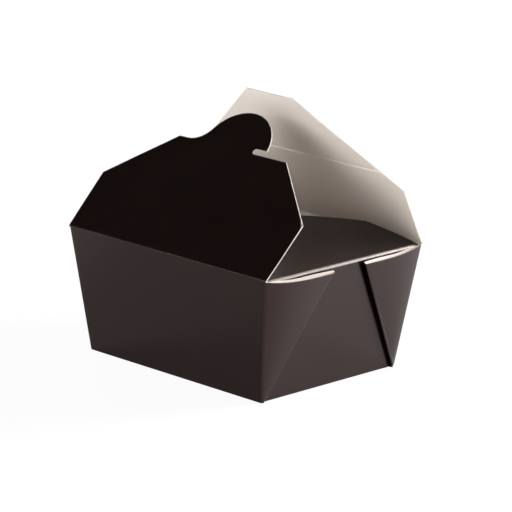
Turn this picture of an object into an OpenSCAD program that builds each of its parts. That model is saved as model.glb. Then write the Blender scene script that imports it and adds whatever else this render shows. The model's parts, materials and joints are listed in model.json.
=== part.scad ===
// Folding takeaway box of printed paperboard, millimetres.
// One sheet makes the base, four tapered walls, four folded web corners and four flaps.
// X runs along the long walls, the tab flap is on the -Y side, Z is up from the table.

/* [Box] */
// Length of the base, over the board
base_l = 114.5; // [100:0.5:122]
// Width of the base, over the board
base_w = 90; // [80:0.5:97]
// Length of the mouth, over the web corners
top_l = 130.5; // [124:0.5:150]
// Width of the mouth, over the board
top_w = 105.5; // [99:0.5:125]
// Height of the long walls' creases above the table
wall_h = 61; // [50:0.5:80]
// Thickness of the paperboard
board_t = 0.45; // [0.35:0.05:0.6]
// Bevel where the walls fold up from the base
base_fold = 0.25; // [0.2:0.05:0.5]

/* [Web corners] */
// Outer radius of the upright corners at the mouth
corner_r = 1.2; // [1.1:0.1:2.5]
// Gap between the two plies of a web
ply_gap = 0.3; // [0.2:0.05:0.5]
// Gap where a web turns back into its end wall
root_gap = 0.1; // [0.1:0.05:0.3]
// How far a web's folded edge springs away from the end wall
web_lift = 3.2; // [1:0.1:4]
// Outward bow of a web's outer ply
web_bow = 0.5; // [0.2:0.1:1]
// Drop of the outer ply's cut edge from the corner crease to the folded edge
web_drop = 2.3; // [1:0.1:5]
// Height of the inner ply's cut edge above the outer ply's
web_step = 0.8; // [0:0.1:1]

/* [End flaps] */
// How much lower the end walls' creases are than the long walls' creases
end_drop = 1.2; // [1:0.1:2]
// Thickness of the bead along an end wall's crease
bead_d = 0.7; // [0.65:0.05:0.9]
// Reach of an end flap over the mouth
end_reach = 60; // [45:0.5:61]
// Reach of its straight sides, before the slanting ones
end_side = 30; // [20:0.5:36]
// Width of its inner edge
end_tip_w = 40; // [25:0.5:50]
// Space beside it at the crease
end_gap = 0.6; // [0.5:0.1:1.5]
// Taper of each of its straight sides
end_taper = 8.5; // [6:0.5:12]
// Angle at which it rises from its crease
end_rise = 15; // [5:0.5:16]
// Radius of its upward curve
end_bow_r = 240; // [220:5:400]
// Share of the rise that is left on the tab flap's side, where it was pressed down
end_press = 0.15; // [0.1:0.01:0.2]

/* [Long flaps] */
// Space between a long wall's cut and the flap's hinge line
crease_gap = 0.4; // [0.4:0.05:0.6]
// Space between a long flap's end and the corner
flap_end = 0.1; // [0.1:0.1:1]
// How much a long flap widens at each shoulder
flap_flare = 0.9; // [0:0.1:1.5]
// Lean of the tab flap over the mouth
tab_lean = 45; // [40:1:47]
// Reach of the tab flap's shoulders
tab_side = 31.4; // [25:0.2:36]
// Reach of the tab flap's top edge
tab_top = 60.4; // [52:0.2:64]
// Length of the tab flap's top edge
tab_top_l = 69.7; // [60:0.1:80]
// Lean of the slot flap over the mouth
slot_lean = 30.4; // [26:0.2:31]
// Reach of the slot flap's shoulders
slot_side = 31; // [25:0.5:36]
// Reach of the slot flap's top edge
slot_top = 76.5; // [70:0.5:80]
// Length of the slot flap's top edge
slot_top_l = 30.2; // [26:0.1:50]

/* [Hook and slit] */
// Radius of the hook's round head
hook_r = 20.3; // [17:0.1:22]
// Place of the hook along the flap
hook_x = 0.4; // [-3:0.1:3]
// Height of the hook's centre above the tab flap's top edge
hook_rise = 0.4; // [0:0.1:2]
// Radius of the hollow beside the hook
hook_fillet = 12; // [8:0.5:14]
// Width of the undercut below the barb
barb_gap = 2.8; // [2.4:0.1:4]
// Length of the undercut
barb_l = 8; // [6:0.5:10]
// Reach of the slit in the slot flap
slit_reach = 41; // [38:0.5:44]
// Length of the slit
slit_l = 38; // [34:0.5:42]
// Width of the slit
slit_w = 0.4; // [0.3:0.05:0.6]
// Width of the score line beside the slit
score_w = 0.8; // [0.6:0.1:1.2]
// Depth of the score line
score_d = 0.12; // [0.05:0.01:0.15]

/* [Hidden] */

black_board = "#2e2726";
pale_board = "#3a3130";
weld = 0.05;
eps = 0.02;

// Outer faces at the base and at the mouth: long walls, web corners and end walls
base_b = base_w / 2;
top_b = top_w / 2;
base_a = base_l / 2;
top_a = top_l / 2;
ply_stack = 2 * board_t + ply_gap + root_gap;
base_end = base_a - ply_stack;
top_end = top_a - ply_stack;
base_r = 2 * board_t + root_gap;
tip_r = (board_t + ply_gap) / 2;
root_r = (board_t + root_gap) / 2;

// Leans of the walls, and where the diagonal fold of a web meets the mouth
long_flare = atan((top_l - base_l) / 2 / wall_h);
end_flare = atan((top_w - base_w) / 2 / wall_h);
web_half = (90 - long_flare - end_flare) / 2;
end_slant = wall_h / cos(end_flare);
fold_b = base_b - end_slant * tan(web_half - end_flare);

edge_bend = 4;
bend_n = 5;
ply_n = 6;
tip_n = 6;
root_n = 4;

end_crease_z = wall_h - end_drop;
end_crease_x = base_end + (top_end - base_end) * end_crease_z / wall_h - board_t / 2;
long_cut_z = wall_h - board_t / 2 - crease_gap;
hinge_y = top_b - board_t / 2;

function mix(a, b, f) = a + (b - a) * f;
function unit(v) = v / norm(v);

// Section of one web corner. Each entry is [place, printed side's direction, share of the web].
// a, b: outer faces of the corner; r: corner radius; tip_b: reach of the fold; lift, bow: spring
function corner_path(a, b, r, tip_b, lift, bow) =
    let (
        s_w = tip_b + tip_r + board_t / 2,
        run = b - r - s_w,
        drift = atan(lift / max(run, 1)) + atan(4 * bow / max(run, 1)),
        bend_a = 90 - drift,
        c = [a - r, b - r],
        e1 = c + (r - board_t / 2) * [sin(bend_a), cos(bend_a)],
        s1 = [a + lift - board_t / 2, s_w],
        d1 = unit(s1 - e1),
        n1 = [-d1[1], d1[0]],
        ct = s1 - tip_r * n1,
        s2 = ct - tip_r * n1,
        r1 = [a - ply_stack + root_gap + board_t / 2, b - r],
        d2 = unit(r1 - s2),
        m2 = [-d2[1], d2[0]],
        cr = r1 - [root_r, 0]
    )
    concat(
        [for (k = [0 : bend_n]) let (q = bend_a * k / bend_n)
            [c + (r - board_t / 2) * [sin(q), cos(q)], [sin(q), cos(q)], 0]],
        [for (k = [1 : ply_n]) let (p = k / ply_n)
            [mix(e1, s1, p) + 4 * bow * p * (1 - p) * n1, n1, p]],
        [for (k = [1 : tip_n]) let (q = 180 * k / tip_n, v = cos(q) * n1 + sin(q) * d1)
            [ct + tip_r * v, v, 1]],
        [for (k = [1 : ply_n - 1]) let (p = k / ply_n) [mix(s2, r1, p), m2, 1 - p]],
        [for (k = [0 : root_n]) let (q = 180 * k / root_n)
            [cr + root_r * [cos(q), sin(q)], [-cos(q), -sin(q)], 0]]
    );

base_path = corner_path(base_a, base_b, base_r, base_b - base_r - tip_r - board_t / 2 - eps, 0, 0);
sole_path = corner_path(base_a - base_fold, base_b - base_fold, base_r,
    base_b - base_fold - base_r - tip_r - board_t / 2 - eps, 0, 0);
top_path = corner_path(top_a, top_b, corner_r, fold_b, web_lift, web_bow);
path_n = len(top_path);

// Height of the cut or creased edge at entry i: below the flap, along a web, or the end crease.
// A web's edge bends down beside the corner and then runs level, and rises round the folded edge
function edge_z(i) =
    let (
        long_part = i <= bend_n,
        root_part = i >= path_n - root_n - 1,
        level = 1 - pow(1 - top_path[i][2], edge_bend),
        tip = (i - bend_n - ply_n) / tip_n,
        outer_z = long_cut_z - web_drop * level,
        inner_z = mix(end_crease_z, long_cut_z - web_drop + web_step, level)
    )
    long_part ? long_cut_z : root_part ? end_crease_z
        : tip <= 0 ? outer_z : tip >= 1 ? inner_z : mix(outer_z, inner_z, tip);

// One entry at height z, side +1 for the printed face and -1 for the inside face
function wall_point(i, z, side) =
    let (
        f = z / wall_h,
        p = mix(base_path[i][0], top_path[i][0], f),
        n = unit(mix(base_path[i][1], top_path[i][1], f)),
        q = p + side * board_t / 2 * n
    ) [q[0], q[1], z];
function sole_point(i, side) =
    let (q = sole_path[i][0] + side * board_t / 2 * sole_path[i][1]) [q[0], q[1], 0];

// The ring is walked once: right front corner, right back, left back, left front
function ring_point(i, row, side) =
    let (
        corner = floor(i / path_n),
        k = i % path_n,
        j = corner % 2 == 0 ? k : path_n - 1 - k,
        v = row == 0 ? sole_point(j, side) : row == 1 ? wall_point(j, base_fold, side)
            : wall_point(j, edge_z(j), side)
    ) [(corner == 0 || corner == 1) ? v[0] : -v[0], (corner == 0 || corner == 3) ? -v[1] : v[1], v[2]];

// Walls and webs: one closed band of board, from the base fold to the creases and cut edges
module wall_band() {
    n = 4 * path_n;
    rows = 3;
    pts = concat(
        [for (row = [0 : rows - 1]) for (i = [0 : n - 1]) ring_point(i, row, 1)],
        [for (row = [0 : rows - 1]) for (i = [0 : n - 1]) ring_point(i, row, -1)]
    );
    inner = rows * n;
    faces = [
        for (row = [0 : rows - 2]) for (i = [0 : n - 1])
            let (j = (i + 1) % n, a = row * n + i, b = row * n + j, c = a + n, d = b + n)
            each [[a, c, b], [b, c, d], [inner + a, inner + b, inner + c], [inner + b, inner + d, inner + c]],
        for (i = [0 : n - 1])
            let (j = (i + 1) % n, top = (rows - 1) * n)
            each [
                [i, j, inner + i], [j, inner + j, inner + i],
                [top + i, inner + top + i, top + j], [top + j, inner + top + i, inner + top + j]
            ]
    ];
    polyhedron(points = pts, faces = faces, convexity = 8);
}

// Base board, with a small ear under each web corner
module base_board() {
    reach_b = base_b - base_fold - weld;
    reach_a = base_end - base_fold - weld;
    ear_a = base_a - base_fold - weld;
    ear_w = base_r + tip_r;
    linear_extrude(board_t) {
        square([2 * reach_a, 2 * reach_b], center = true);
        for (sx = [-1, 1]) for (sy = [-1, 1]) scale([sx, sy])
            translate([ear_a - 2 * ear_w, reach_b - ear_w]) square([2 * ear_w - base_r / 2, ear_w]);
    }
}

// Half width of an end flap at distance d from its crease
function end_half(d) =
    let (side = top_b - board_t - end_gap, shoulder = side - end_side * tan(end_taper))
    d <= end_side ? side - d * tan(end_taper)
        : mix(shoulder, end_tip_w / 2, (d - end_side) / (end_reach - end_side));
// Rise of an end flap above its crease at distance d and place y across the box
function end_lift(d, y) =
    let (share = end_press + (1 - end_press) * sin(90 * (y + top_b) / top_w))
    share * (d * tan(end_rise) - d * d / (2 * end_bow_r));

// End flap on the +X side, a curved sheet that is pressed lower beside the tab flap
module end_flap_sheet() {
    side_n = 5;
    slant_n = 4;
    cross_n = 8;
    reach = concat(
        [for (k = [0 : side_n]) end_side * k / side_n],
        [for (k = [1 : slant_n]) mix(end_side, end_reach, k / slant_n)]
    );
    rows = len(reach);
    wide = cross_n + 1;
    function place(r, c, side) =
        let (
            d = reach[r],
            y = end_half(d) * (2 * c / cross_n - 1),
            slope = atan((end_lift(d + eps, y) - end_lift(d, y)) / eps)
        ) [end_crease_x - d + side * board_t / 2 * sin(slope), y,
            end_crease_z + end_lift(d, y) + side * board_t / 2 * cos(slope)];
    upper = rows * wide;
    pts = [for (side = [-1, 1]) for (r = [0 : rows - 1]) for (c = [0 : cross_n]) place(r, c, side)];
    function quad(a, b, c, d) = [[a, c, b], [a, d, c]];
    faces = [
        for (r = [0 : rows - 2]) for (c = [0 : cross_n - 1])
            let (a = r * wide + c, b = a + 1, e = a + wide, g = e + 1)
            each concat(quad(a, e, g, b), quad(upper + a, upper + b, upper + g, upper + e)),
        for (c = [0 : cross_n - 1])
            let (far = (rows - 1) * wide)
            each concat(quad(c, c + 1, upper + c + 1, upper + c),
                quad(far + c + 1, far + c, upper + far + c, upper + far + c + 1)),
        for (r = [0 : rows - 2])
            let (a = r * wide, e = a + wide, b = a + cross_n, g = e + cross_n)
            each concat(quad(e, a, upper + a, upper + e), quad(b, g, upper + g, upper + b))
    ];
    polyhedron(points = pts, faces = faces, convexity = 4);
}

// Bead along the crease of an end wall, which joins its flap to it
module end_crease() {
    bead_l = 2 * end_half(0);
    translate([end_crease_x, 0, end_crease_z]) rotate([90, 0, 0])
        cylinder(d = bead_d, h = bead_l, center = true, $fn = 24);
}

module carton() {
    color(black_board) {
        wall_band();
        base_board();
        for (side = [0, 1]) mirror([side, 0, 0]) {
            end_flap_sheet();
            end_crease();
        }
    }
}

// Outline of a long flap from its hinge line: shoulders, slanting sides and top edge
module flap_outline(shoulder, top, top_edge) {
    half = top_a - flap_end;
    wide = top_a + flap_flare;
    polygon([
        [-half, 0], [half, 0], [wide, shoulder], [top_edge / 2, top],
        [-top_edge / 2, top], [-wide, shoulder]
    ]);
}

// Round hook with a barb on its right and a hollow on its left
module hook_outline() {
    foot = [hook_x, tab_top + hook_rise];
    barb_top = tab_top + barb_gap;
    slot_x = hook_x + hook_r - barb_l + barb_gap / 2;
    hollow = [
        hook_x - sqrt(pow(hook_r + hook_fillet, 2) - pow(hook_fillet - hook_rise, 2)),
        tab_top + hook_fillet
    ];
    touch = mix(foot, hollow, hook_r / (hook_r + hook_fillet));
    difference() {
        union() {
            translate(foot) circle(hook_r, $fn = 96);
            polygon([foot, touch, [hollow[0], tab_top], [hollow[0], tab_top - weld], [hook_x, tab_top - weld]]);
        }
        translate(hollow) circle(hook_fillet, $fn = 64);
        translate([hook_x - 2 * hook_r, tab_top - weld - 2 * hook_r]) square([4 * hook_r, 2 * hook_r]);
        translate([slot_x, tab_top + barb_gap / 2]) circle(d = barb_gap, $fn = 32);
        translate([slot_x, tab_top - 2 * weld]) square([2 * hook_r, barb_top - tab_top + 2 * weld]);
    }
}

// A long flap's board: outline lying in its plane, with a round edge along the hinge line
module flap_board() {
    translate([0, 0, -board_t / 2]) linear_extrude(board_t) children();
    rotate([0, 90, 0]) cylinder(d = board_t, h = top_l - 2 * flap_end, center = true, $fn = 24);
}

module tab_flap() {
    color(black_board) translate([0, -hinge_y, wall_h]) rotate([90 - tab_lean, 0, 0])
        flap_board() {
            flap_outline(tab_side, tab_top, tab_top_l);
            hook_outline();
        }
}

module slot_flap() {
    slit_right = hook_x + hook_r - barb_l / 2;
    color(pale_board) translate([0, hinge_y, wall_h]) rotate([0, 0, 180]) rotate([90 - slot_lean, 0, 0])
        difference() {
            flap_board() flap_outline(slot_side, slot_top, slot_top_l);
            translate([-slit_right, slit_reach - slit_w / 2, -board_t])
                cube([slit_l, slit_w, 2 * board_t]);
            translate([-top_l, slit_reach - score_w / 2, -board_t / 2 - score_d])
                cube([2 * top_l, score_w, 2 * score_d]);
        }
}

carton();
tab_flap();
slot_flap();
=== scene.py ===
"""Looks of a folding takeaway box: printed paperboard with a cream film inside.

Lengths are in millimetres until a mesh is made, where MM turns them into metres. The
outline of each flap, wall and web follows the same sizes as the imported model, and each
hinge line comes from the model's own joints.
"""

import json
import logging
import math
from dataclasses import dataclass
from enum import Enum
from typing import Callable

import bmesh
import bpy
import numpy as np
from mathutils import Matrix, Vector

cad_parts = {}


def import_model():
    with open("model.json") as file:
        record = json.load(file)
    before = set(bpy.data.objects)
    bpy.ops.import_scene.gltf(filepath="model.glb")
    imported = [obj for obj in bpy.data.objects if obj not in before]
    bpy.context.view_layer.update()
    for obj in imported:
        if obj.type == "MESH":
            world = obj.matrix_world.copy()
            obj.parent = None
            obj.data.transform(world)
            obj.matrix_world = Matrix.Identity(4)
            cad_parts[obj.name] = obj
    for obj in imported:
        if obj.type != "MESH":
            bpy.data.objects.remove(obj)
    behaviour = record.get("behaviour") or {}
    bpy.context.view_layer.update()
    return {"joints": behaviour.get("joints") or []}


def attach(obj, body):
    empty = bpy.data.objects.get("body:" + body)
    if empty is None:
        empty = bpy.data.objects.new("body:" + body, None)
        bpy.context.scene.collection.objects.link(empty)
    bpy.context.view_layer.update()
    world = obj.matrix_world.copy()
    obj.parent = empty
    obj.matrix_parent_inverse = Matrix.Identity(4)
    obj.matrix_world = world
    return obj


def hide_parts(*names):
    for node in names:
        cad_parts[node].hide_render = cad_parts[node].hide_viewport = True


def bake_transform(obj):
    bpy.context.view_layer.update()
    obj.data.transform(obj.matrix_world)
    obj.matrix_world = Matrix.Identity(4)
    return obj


LOG = logging.getLogger("takeaway_box")
MM = 0.001
BOARD_MM = 0.45
FAR_FROM_CUT_MM = 20.0
SAME_POINT_MM = 0.001
TINY = 1e-12
SHARP_TURN_DEG = 28.0
GRAIN_DEPTH_MM = 0.03


class Side(Enum):
    """The three kinds of surface that a sheet of board shows."""

    PRINTED = 0
    FILM = 1
    CUT = 2


class Part(Enum):
    """The stretches of board that the walls' ring is made of."""

    LONG_WALL = 0
    BEND = 1
    OUTER_PLY = 2
    TIP = 3
    INNER_PLY = 4
    ROOT = 5
    END_WALL = 6


class Stretch(Enum):
    """The stretches of an end flap's section, from its wall to its inner edge."""

    WALL = 0
    FOLD = 1
    FLAP = 2


def mix(low: float, high: float, share: float) -> float:
    """Return the value at share of the way from low to high."""
    return low + (high - low) * share


def ease(value: float) -> float:
    """Return value clamped to 0 to 1 and eased at both ends."""
    held = min(max(value, 0.0), 1.0)
    return held * held * (3 - 2 * held)


def unit(vector: np.ndarray) -> np.ndarray:
    """Return vector at length 1."""
    return vector / np.linalg.norm(vector)


def left_of(vector: np.ndarray) -> np.ndarray:
    """Return the plane vector a quarter turn to the left of vector."""
    return np.array([-vector[1], vector[0]])


@dataclass
class Sheet:
    """A stretch of board as its middle surface.

    middle holds its points, printed the directions to its printed side, edge_mm each
    point's distance from the nearest cut edge and fold its share of a fold's wear and,
    along creases and the score, of a painted highlight.
    """

    middle: np.ndarray
    printed: np.ndarray
    faces: list[tuple[int, ...]]
    edge_mm: np.ndarray
    fold: np.ndarray

    @classmethod
    def from_grid(
        cls,
        middle: np.ndarray,
        printed: np.ndarray,
        edge_mm: np.ndarray,
        fold: np.ndarray,
    ) -> "Sheet":
        """Make a sheet from rows and columns of points.

        Args:
            middle: Points, as rows by columns by 3.
            printed: Directions to the printed side, of the same shape.
            edge_mm: Distances from the nearest cut edge, as rows by columns.
            fold: Shares of a fold's wear and painted highlight, as rows by columns.

        Returns:
            The sheet, with a four-sided face between neighbouring points.
        """
        rows, columns = middle.shape[:2]
        faces = [
            (r * columns + c, r * columns + c + 1, (r + 1) * columns + c + 1, (r + 1) * columns + c)
            for r in range(rows - 1)
            for c in range(columns - 1)
        ]
        return cls(
            middle.reshape(-1, 3), printed.reshape(-1, 3), faces, edge_mm.ravel(), fold.ravel()
        )


def grid_normals(middle: np.ndarray, towards: np.ndarray) -> np.ndarray:
    """Work out the directions square to a grid of points.

    Args:
        middle: Points, as rows by columns by 3.
        towards: A direction that the result points along rather than against.

    Returns:
        Unit directions, of the same shape as middle.
    """
    across = np.gradient(middle, axis=1)
    along = np.gradient(middle, axis=0)
    normal = np.cross(across, along)
    normal /= np.linalg.norm(normal, axis=2, keepdims=True)
    sign = np.sign((normal * towards).sum(axis=2, keepdims=True))
    return normal * np.where(sign == 0, 1, sign)


class BoardMesh:
    """Collects sheets of board, gives them their thickness and makes one object."""

    def __init__(self, name: str) -> None:
        """Start an empty mesh.

        Args:
            name: The name of the mesh and its object.
        """
        self.name = name
        self.points: list[np.ndarray] = []
        self.edge_mm: list[float] = []
        self.fold: list[float] = []
        self.faces: list[tuple[int, ...]] = []
        self.sides: list[Side] = []
        self.flat: list[bool] = []
        self.sharp: set[tuple[int, int]] = set()

    def add_points(self, places: np.ndarray, edge_mm: np.ndarray, fold: np.ndarray) -> int:
        """Add points.

        Args:
            places: The points, in millimetres.
            edge_mm: Each point's distance from the nearest cut edge.
            fold: Each point's share of a fold's wear and painted highlight.

        Returns:
            The number of the first added point.
        """
        first = len(self.points)
        self.points.extend(places)
        self.edge_mm.extend(edge_mm)
        self.fold.extend(fold)
        return first

    def add_face(self, corners: tuple[int, ...], side: Side, flat: bool = False) -> None:
        """Add one face.

        Args:
            corners: The numbers of its points, anticlockwise seen from outside.
            side: Its kind of surface.
            flat: Whether it is shaded flat.
        """
        self.faces.append(corners)
        self.sides.append(side)
        self.flat.append(flat)

    def mark_sharp(self, a: int, b: int) -> None:
        """Keep the edge between two points sharp when it is shaded."""
        self.sharp.add((min(a, b), max(a, b)))

    def add_border(self, outer: list[tuple[int, int]], inner_of: Callable[[int], int]) -> None:
        """Close the board's thickness along cut edges.

        Args:
            outer: Edges on the printed side, in the order that their own face runs.
            inner_of: Gives the film side's point behind a printed side's point.
        """
        for a, b in outer:
            self.add_face((b, a, inner_of(a), inner_of(b)), Side.CUT)
            self.mark_sharp(a, b)
            self.mark_sharp(inner_of(a), inner_of(b))

    def add_sheet(self, sheet: Sheet) -> None:
        """Add a sheet of board as a closed solid.

        Args:
            sheet: The sheet's middle surface.
        """
        a, b, c = (sheet.middle[k] for k in sheet.faces[0][:3])
        turned = np.cross(b - a, c - b) @ sheet.printed[sheet.faces[0][1]] < 0
        faces = [f[::-1] if turned else f for f in sheet.faces]
        half = sheet.printed * BOARD_MM / 2
        outer = self.add_points(sheet.middle + half, sheet.edge_mm, sheet.fold)
        inner = self.add_points(sheet.middle - half, sheet.edge_mm, sheet.fold)
        used: dict[tuple[int, int], int] = {}
        for face in faces:
            self.add_face(tuple(outer + k for k in face), Side.PRINTED)
            self.add_face(tuple(inner + k for k in reversed(face)), Side.FILM)
            for a, b in zip(face, face[1:] + face[:1]):
                used[(a, b)] = used.get((a, b), 0) + 1
        border = [(outer + a, outer + b) for a, b in used if (b, a) not in used]
        self.add_border(border, lambda k: k - outer + inner)
        self.mark_corners(border, lambda k: k - outer + inner)

    def mark_corners(self, border: list[tuple[int, int]], inner_of: Callable[[int], int]) -> None:
        """Keep the cut edge sharp where its outline turns a corner.

        Args:
            border: Edges on the printed side along the outline.
            inner_of: Gives the film side's point behind a printed side's point.
        """
        after = dict(border)
        for a, b in border:
            if b not in after:
                continue
            before = unit(self.points[b] - self.points[a])
            ahead = unit(self.points[after[b]] - self.points[b])
            if before @ ahead < math.cos(math.radians(SHARP_TURN_DEG)):
                self.mark_sharp(b, inner_of(b))

    def make(self, finishes: dict[Side, bpy.types.Material]) -> bpy.types.Object:
        """Make the object.

        Args:
            finishes: The material of each kind of surface.

        Returns:
            The new object, linked to the scene.
        """
        mesh = bpy.data.meshes.new(self.name)
        mesh.from_pydata([tuple(p * MM) for p in self.points], [], self.faces)
        for side in Side:
            mesh.materials.append(finishes[side])
        mesh.polygons.foreach_set("material_index", [s.value for s in self.sides])
        mesh.polygons.foreach_set("use_smooth", [not f for f in self.flat])
        for name, values in (("edge_mm", self.edge_mm), ("fold", self.fold)):
            layer = mesh.attributes.new(name, "FLOAT", "POINT")
            layer.data.foreach_set("value", np.array(values, np.float32))
        pairs = np.zeros(2 * len(mesh.edges), np.int32)
        mesh.edges.foreach_get("vertices", pairs)
        keys = [(min(a, b), max(a, b)) for a, b in pairs.reshape(-1, 2).tolist()]
        sharp = mesh.attributes.new("sharp_edge", "BOOLEAN", "EDGE")
        sharp.data.foreach_set("value", [k in self.sharp for k in keys])
        mesh.update()
        made = bpy.data.objects.new(self.name, mesh)
        bpy.context.scene.collection.objects.link(made)
        LOG.info("%s: %d points, %d faces", self.name, len(self.points), len(self.faces))
        return made


@dataclass(frozen=True)
class Entry:
    """One point of a corner's section.

    out is the printed side's direction, share the point's share of the web and turn how
    far round the web's folded edge it is, from 0 on the outer ply to 1 on the inner one.
    """

    place: np.ndarray
    out: np.ndarray
    share: float
    turn: float
    part: Part


@dataclass(frozen=True)
class CornerSection:
    """One level's section through a web corner, worked out in one quadrant.

    end_face and long_face are the outer faces of the corner, radius its outer bend, reach
    how near the fold comes to the middle of the end wall, lift and bow the web's spring and
    spread how far its plies open beside the folded edge.
    """

    end_face: float
    long_face: float
    radius: float
    reach: float
    lift: float
    bow: float
    spread: float = 0.0
    ply_gap: float = 0.3
    root_gap: float = 0.1
    least_run: float = 1.0
    bend_n: int = 10
    ply_n: int = 20
    tip_n: int = 8
    root_n: int = 6

    @property
    def tip_radius(self) -> float:
        """Middle radius of the web's outer fold."""
        return (BOARD_MM + self.ply_gap) / 2

    @property
    def root_radius(self) -> float:
        """Middle radius of the turn from the web into the end wall."""
        return (BOARD_MM + self.root_gap) / 2

    @property
    def stack(self) -> float:
        """Depth of the two plies and their gaps in front of the end wall."""
        return 2 * BOARD_MM + self.ply_gap + self.root_gap

    def entries(self) -> list[Entry]:
        """Work out the section's points.

        The outer ply's bow is steepest beside the corner and fades out at the folded edge.

        Returns:
            The points, from the long wall round the web to the end wall.
        """
        half = BOARD_MM / 2
        start_w = self.reach + self.tip_radius + half
        run = max(self.long_face - self.radius - start_w, self.least_run)
        drift = math.atan(self.lift / run) + math.atan(2 * self.bow / run)
        bend = math.pi / 2 - drift
        centre = np.array([self.end_face - self.radius, self.long_face - self.radius])
        arm = self.radius - half
        ply_start = centre + arm * np.array([math.sin(bend), math.cos(bend)])
        ply_end = np.array([self.end_face + self.lift - half, start_w])
        along = unit(ply_end - ply_start)
        out = left_of(along)
        tip_centre = ply_end - self.tip_radius * out
        back_start = tip_centre - self.tip_radius * out
        back_end = np.array(
            [self.end_face - self.stack + self.root_gap + half, self.long_face - self.radius]
        )
        back_out = left_of(unit(back_end - back_start))
        root_centre = back_end - np.array([self.root_radius, 0])
        walk: list[Entry] = []
        for k in range(self.bend_n + 1):
            turn = bend * k / self.bend_n
            spoke = np.array([math.sin(turn), math.cos(turn)])
            walk.append(Entry(centre + arm * spoke, spoke, 0.0, 0.0, Part.BEND))
        for k in range(1, self.ply_n + 1):
            p = k / self.ply_n
            curve = self.bow * (1 - (1 - p) ** 3 - p)
            place = mix(ply_start, ply_end, p) + curve * out
            walk.append(Entry(place, out, p, 0.0, Part.OUTER_PLY))
        for k in range(1, self.tip_n + 1):
            turn = math.pi * k / self.tip_n
            spoke = math.cos(turn) * out + math.sin(turn) * along
            place = tip_centre + self.tip_radius * spoke
            walk.append(Entry(place, spoke, 1.0, k / self.tip_n, Part.TIP))
        for k in range(1, self.ply_n):
            p = k / self.ply_n
            place = mix(back_start, back_end, p) + 4 * self.spread * p * (1 - p) * back_out
            walk.append(Entry(place, back_out, 1 - p, 1.0, Part.INNER_PLY))
        for k in range(self.root_n + 1):
            turn = math.pi * k / self.root_n
            spoke = np.array([math.cos(turn), math.sin(turn)])
            walk.append(Entry(root_centre + self.root_radius * spoke, -spoke, 0.0, 1.0, Part.ROOT))
        return walk


@dataclass(frozen=True)
class WebSpring:
    """How far a web corner has sprung open, in millimetres.

    lift and bow are the outer ply's at the mouth, foot its lift at the base, spread the
    opening between the plies, narrow how far the folded edge is drawn back to the corner
    and power how fast the spring fades towards the base.
    """

    lift: float
    bow: float
    spread: float
    foot: float
    narrow: float
    power: float


FLAT_WEB = WebSpring(lift=0.0, bow=0.0, spread=0.0, foot=0.0, narrow=0.0, power=1.0)


@dataclass
class Column:
    """One upright line of the walls' ring, from the base to the mouth.

    spring is how far the web has sprung from its flat place at the mouth, and power how
    fast that fades towards the base.
    """

    sole: np.ndarray
    base: np.ndarray
    base_out: np.ndarray
    top: np.ndarray
    top_out: np.ndarray
    spring: np.ndarray
    power: float
    share: float
    turn: float
    part: Part

    def moved(self, x_sign: int, y_sign: int) -> "Column":
        """Mirror the column into another quadrant.

        Args:
            x_sign: 1 for the +X side and -1 for the other.
            y_sign: 1 for the +Y side and -1 for the other.

        Returns:
            The mirrored column.
        """
        flip = np.array([x_sign, y_sign])
        return Column(
            self.sole * flip,
            self.base * flip,
            self.base_out * flip,
            self.top * flip,
            self.top_out * flip,
            self.spring * flip,
            self.power,
            self.share,
            self.turn,
            self.part,
        )

    def between(self, other: "Column", share: float, part: Part) -> "Column":
        """Place a column on the flat wall between this one and another.

        Args:
            other: The column at the wall's far end.
            share: The share of the way to it.
            part: The wall that the column is on.

        Returns:
            The new column.
        """
        return Column(
            mix(self.sole, other.sole, share),
            mix(self.base, other.base, share),
            unit(mix(self.base_out, other.base_out, share)),
            mix(self.top, other.top, share),
            unit(mix(self.top_out, other.top_out, share)),
            spring=np.zeros(2),
            power=1.0,
            share=0.0,
            turn=0.0,
            part=part,
        )


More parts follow.
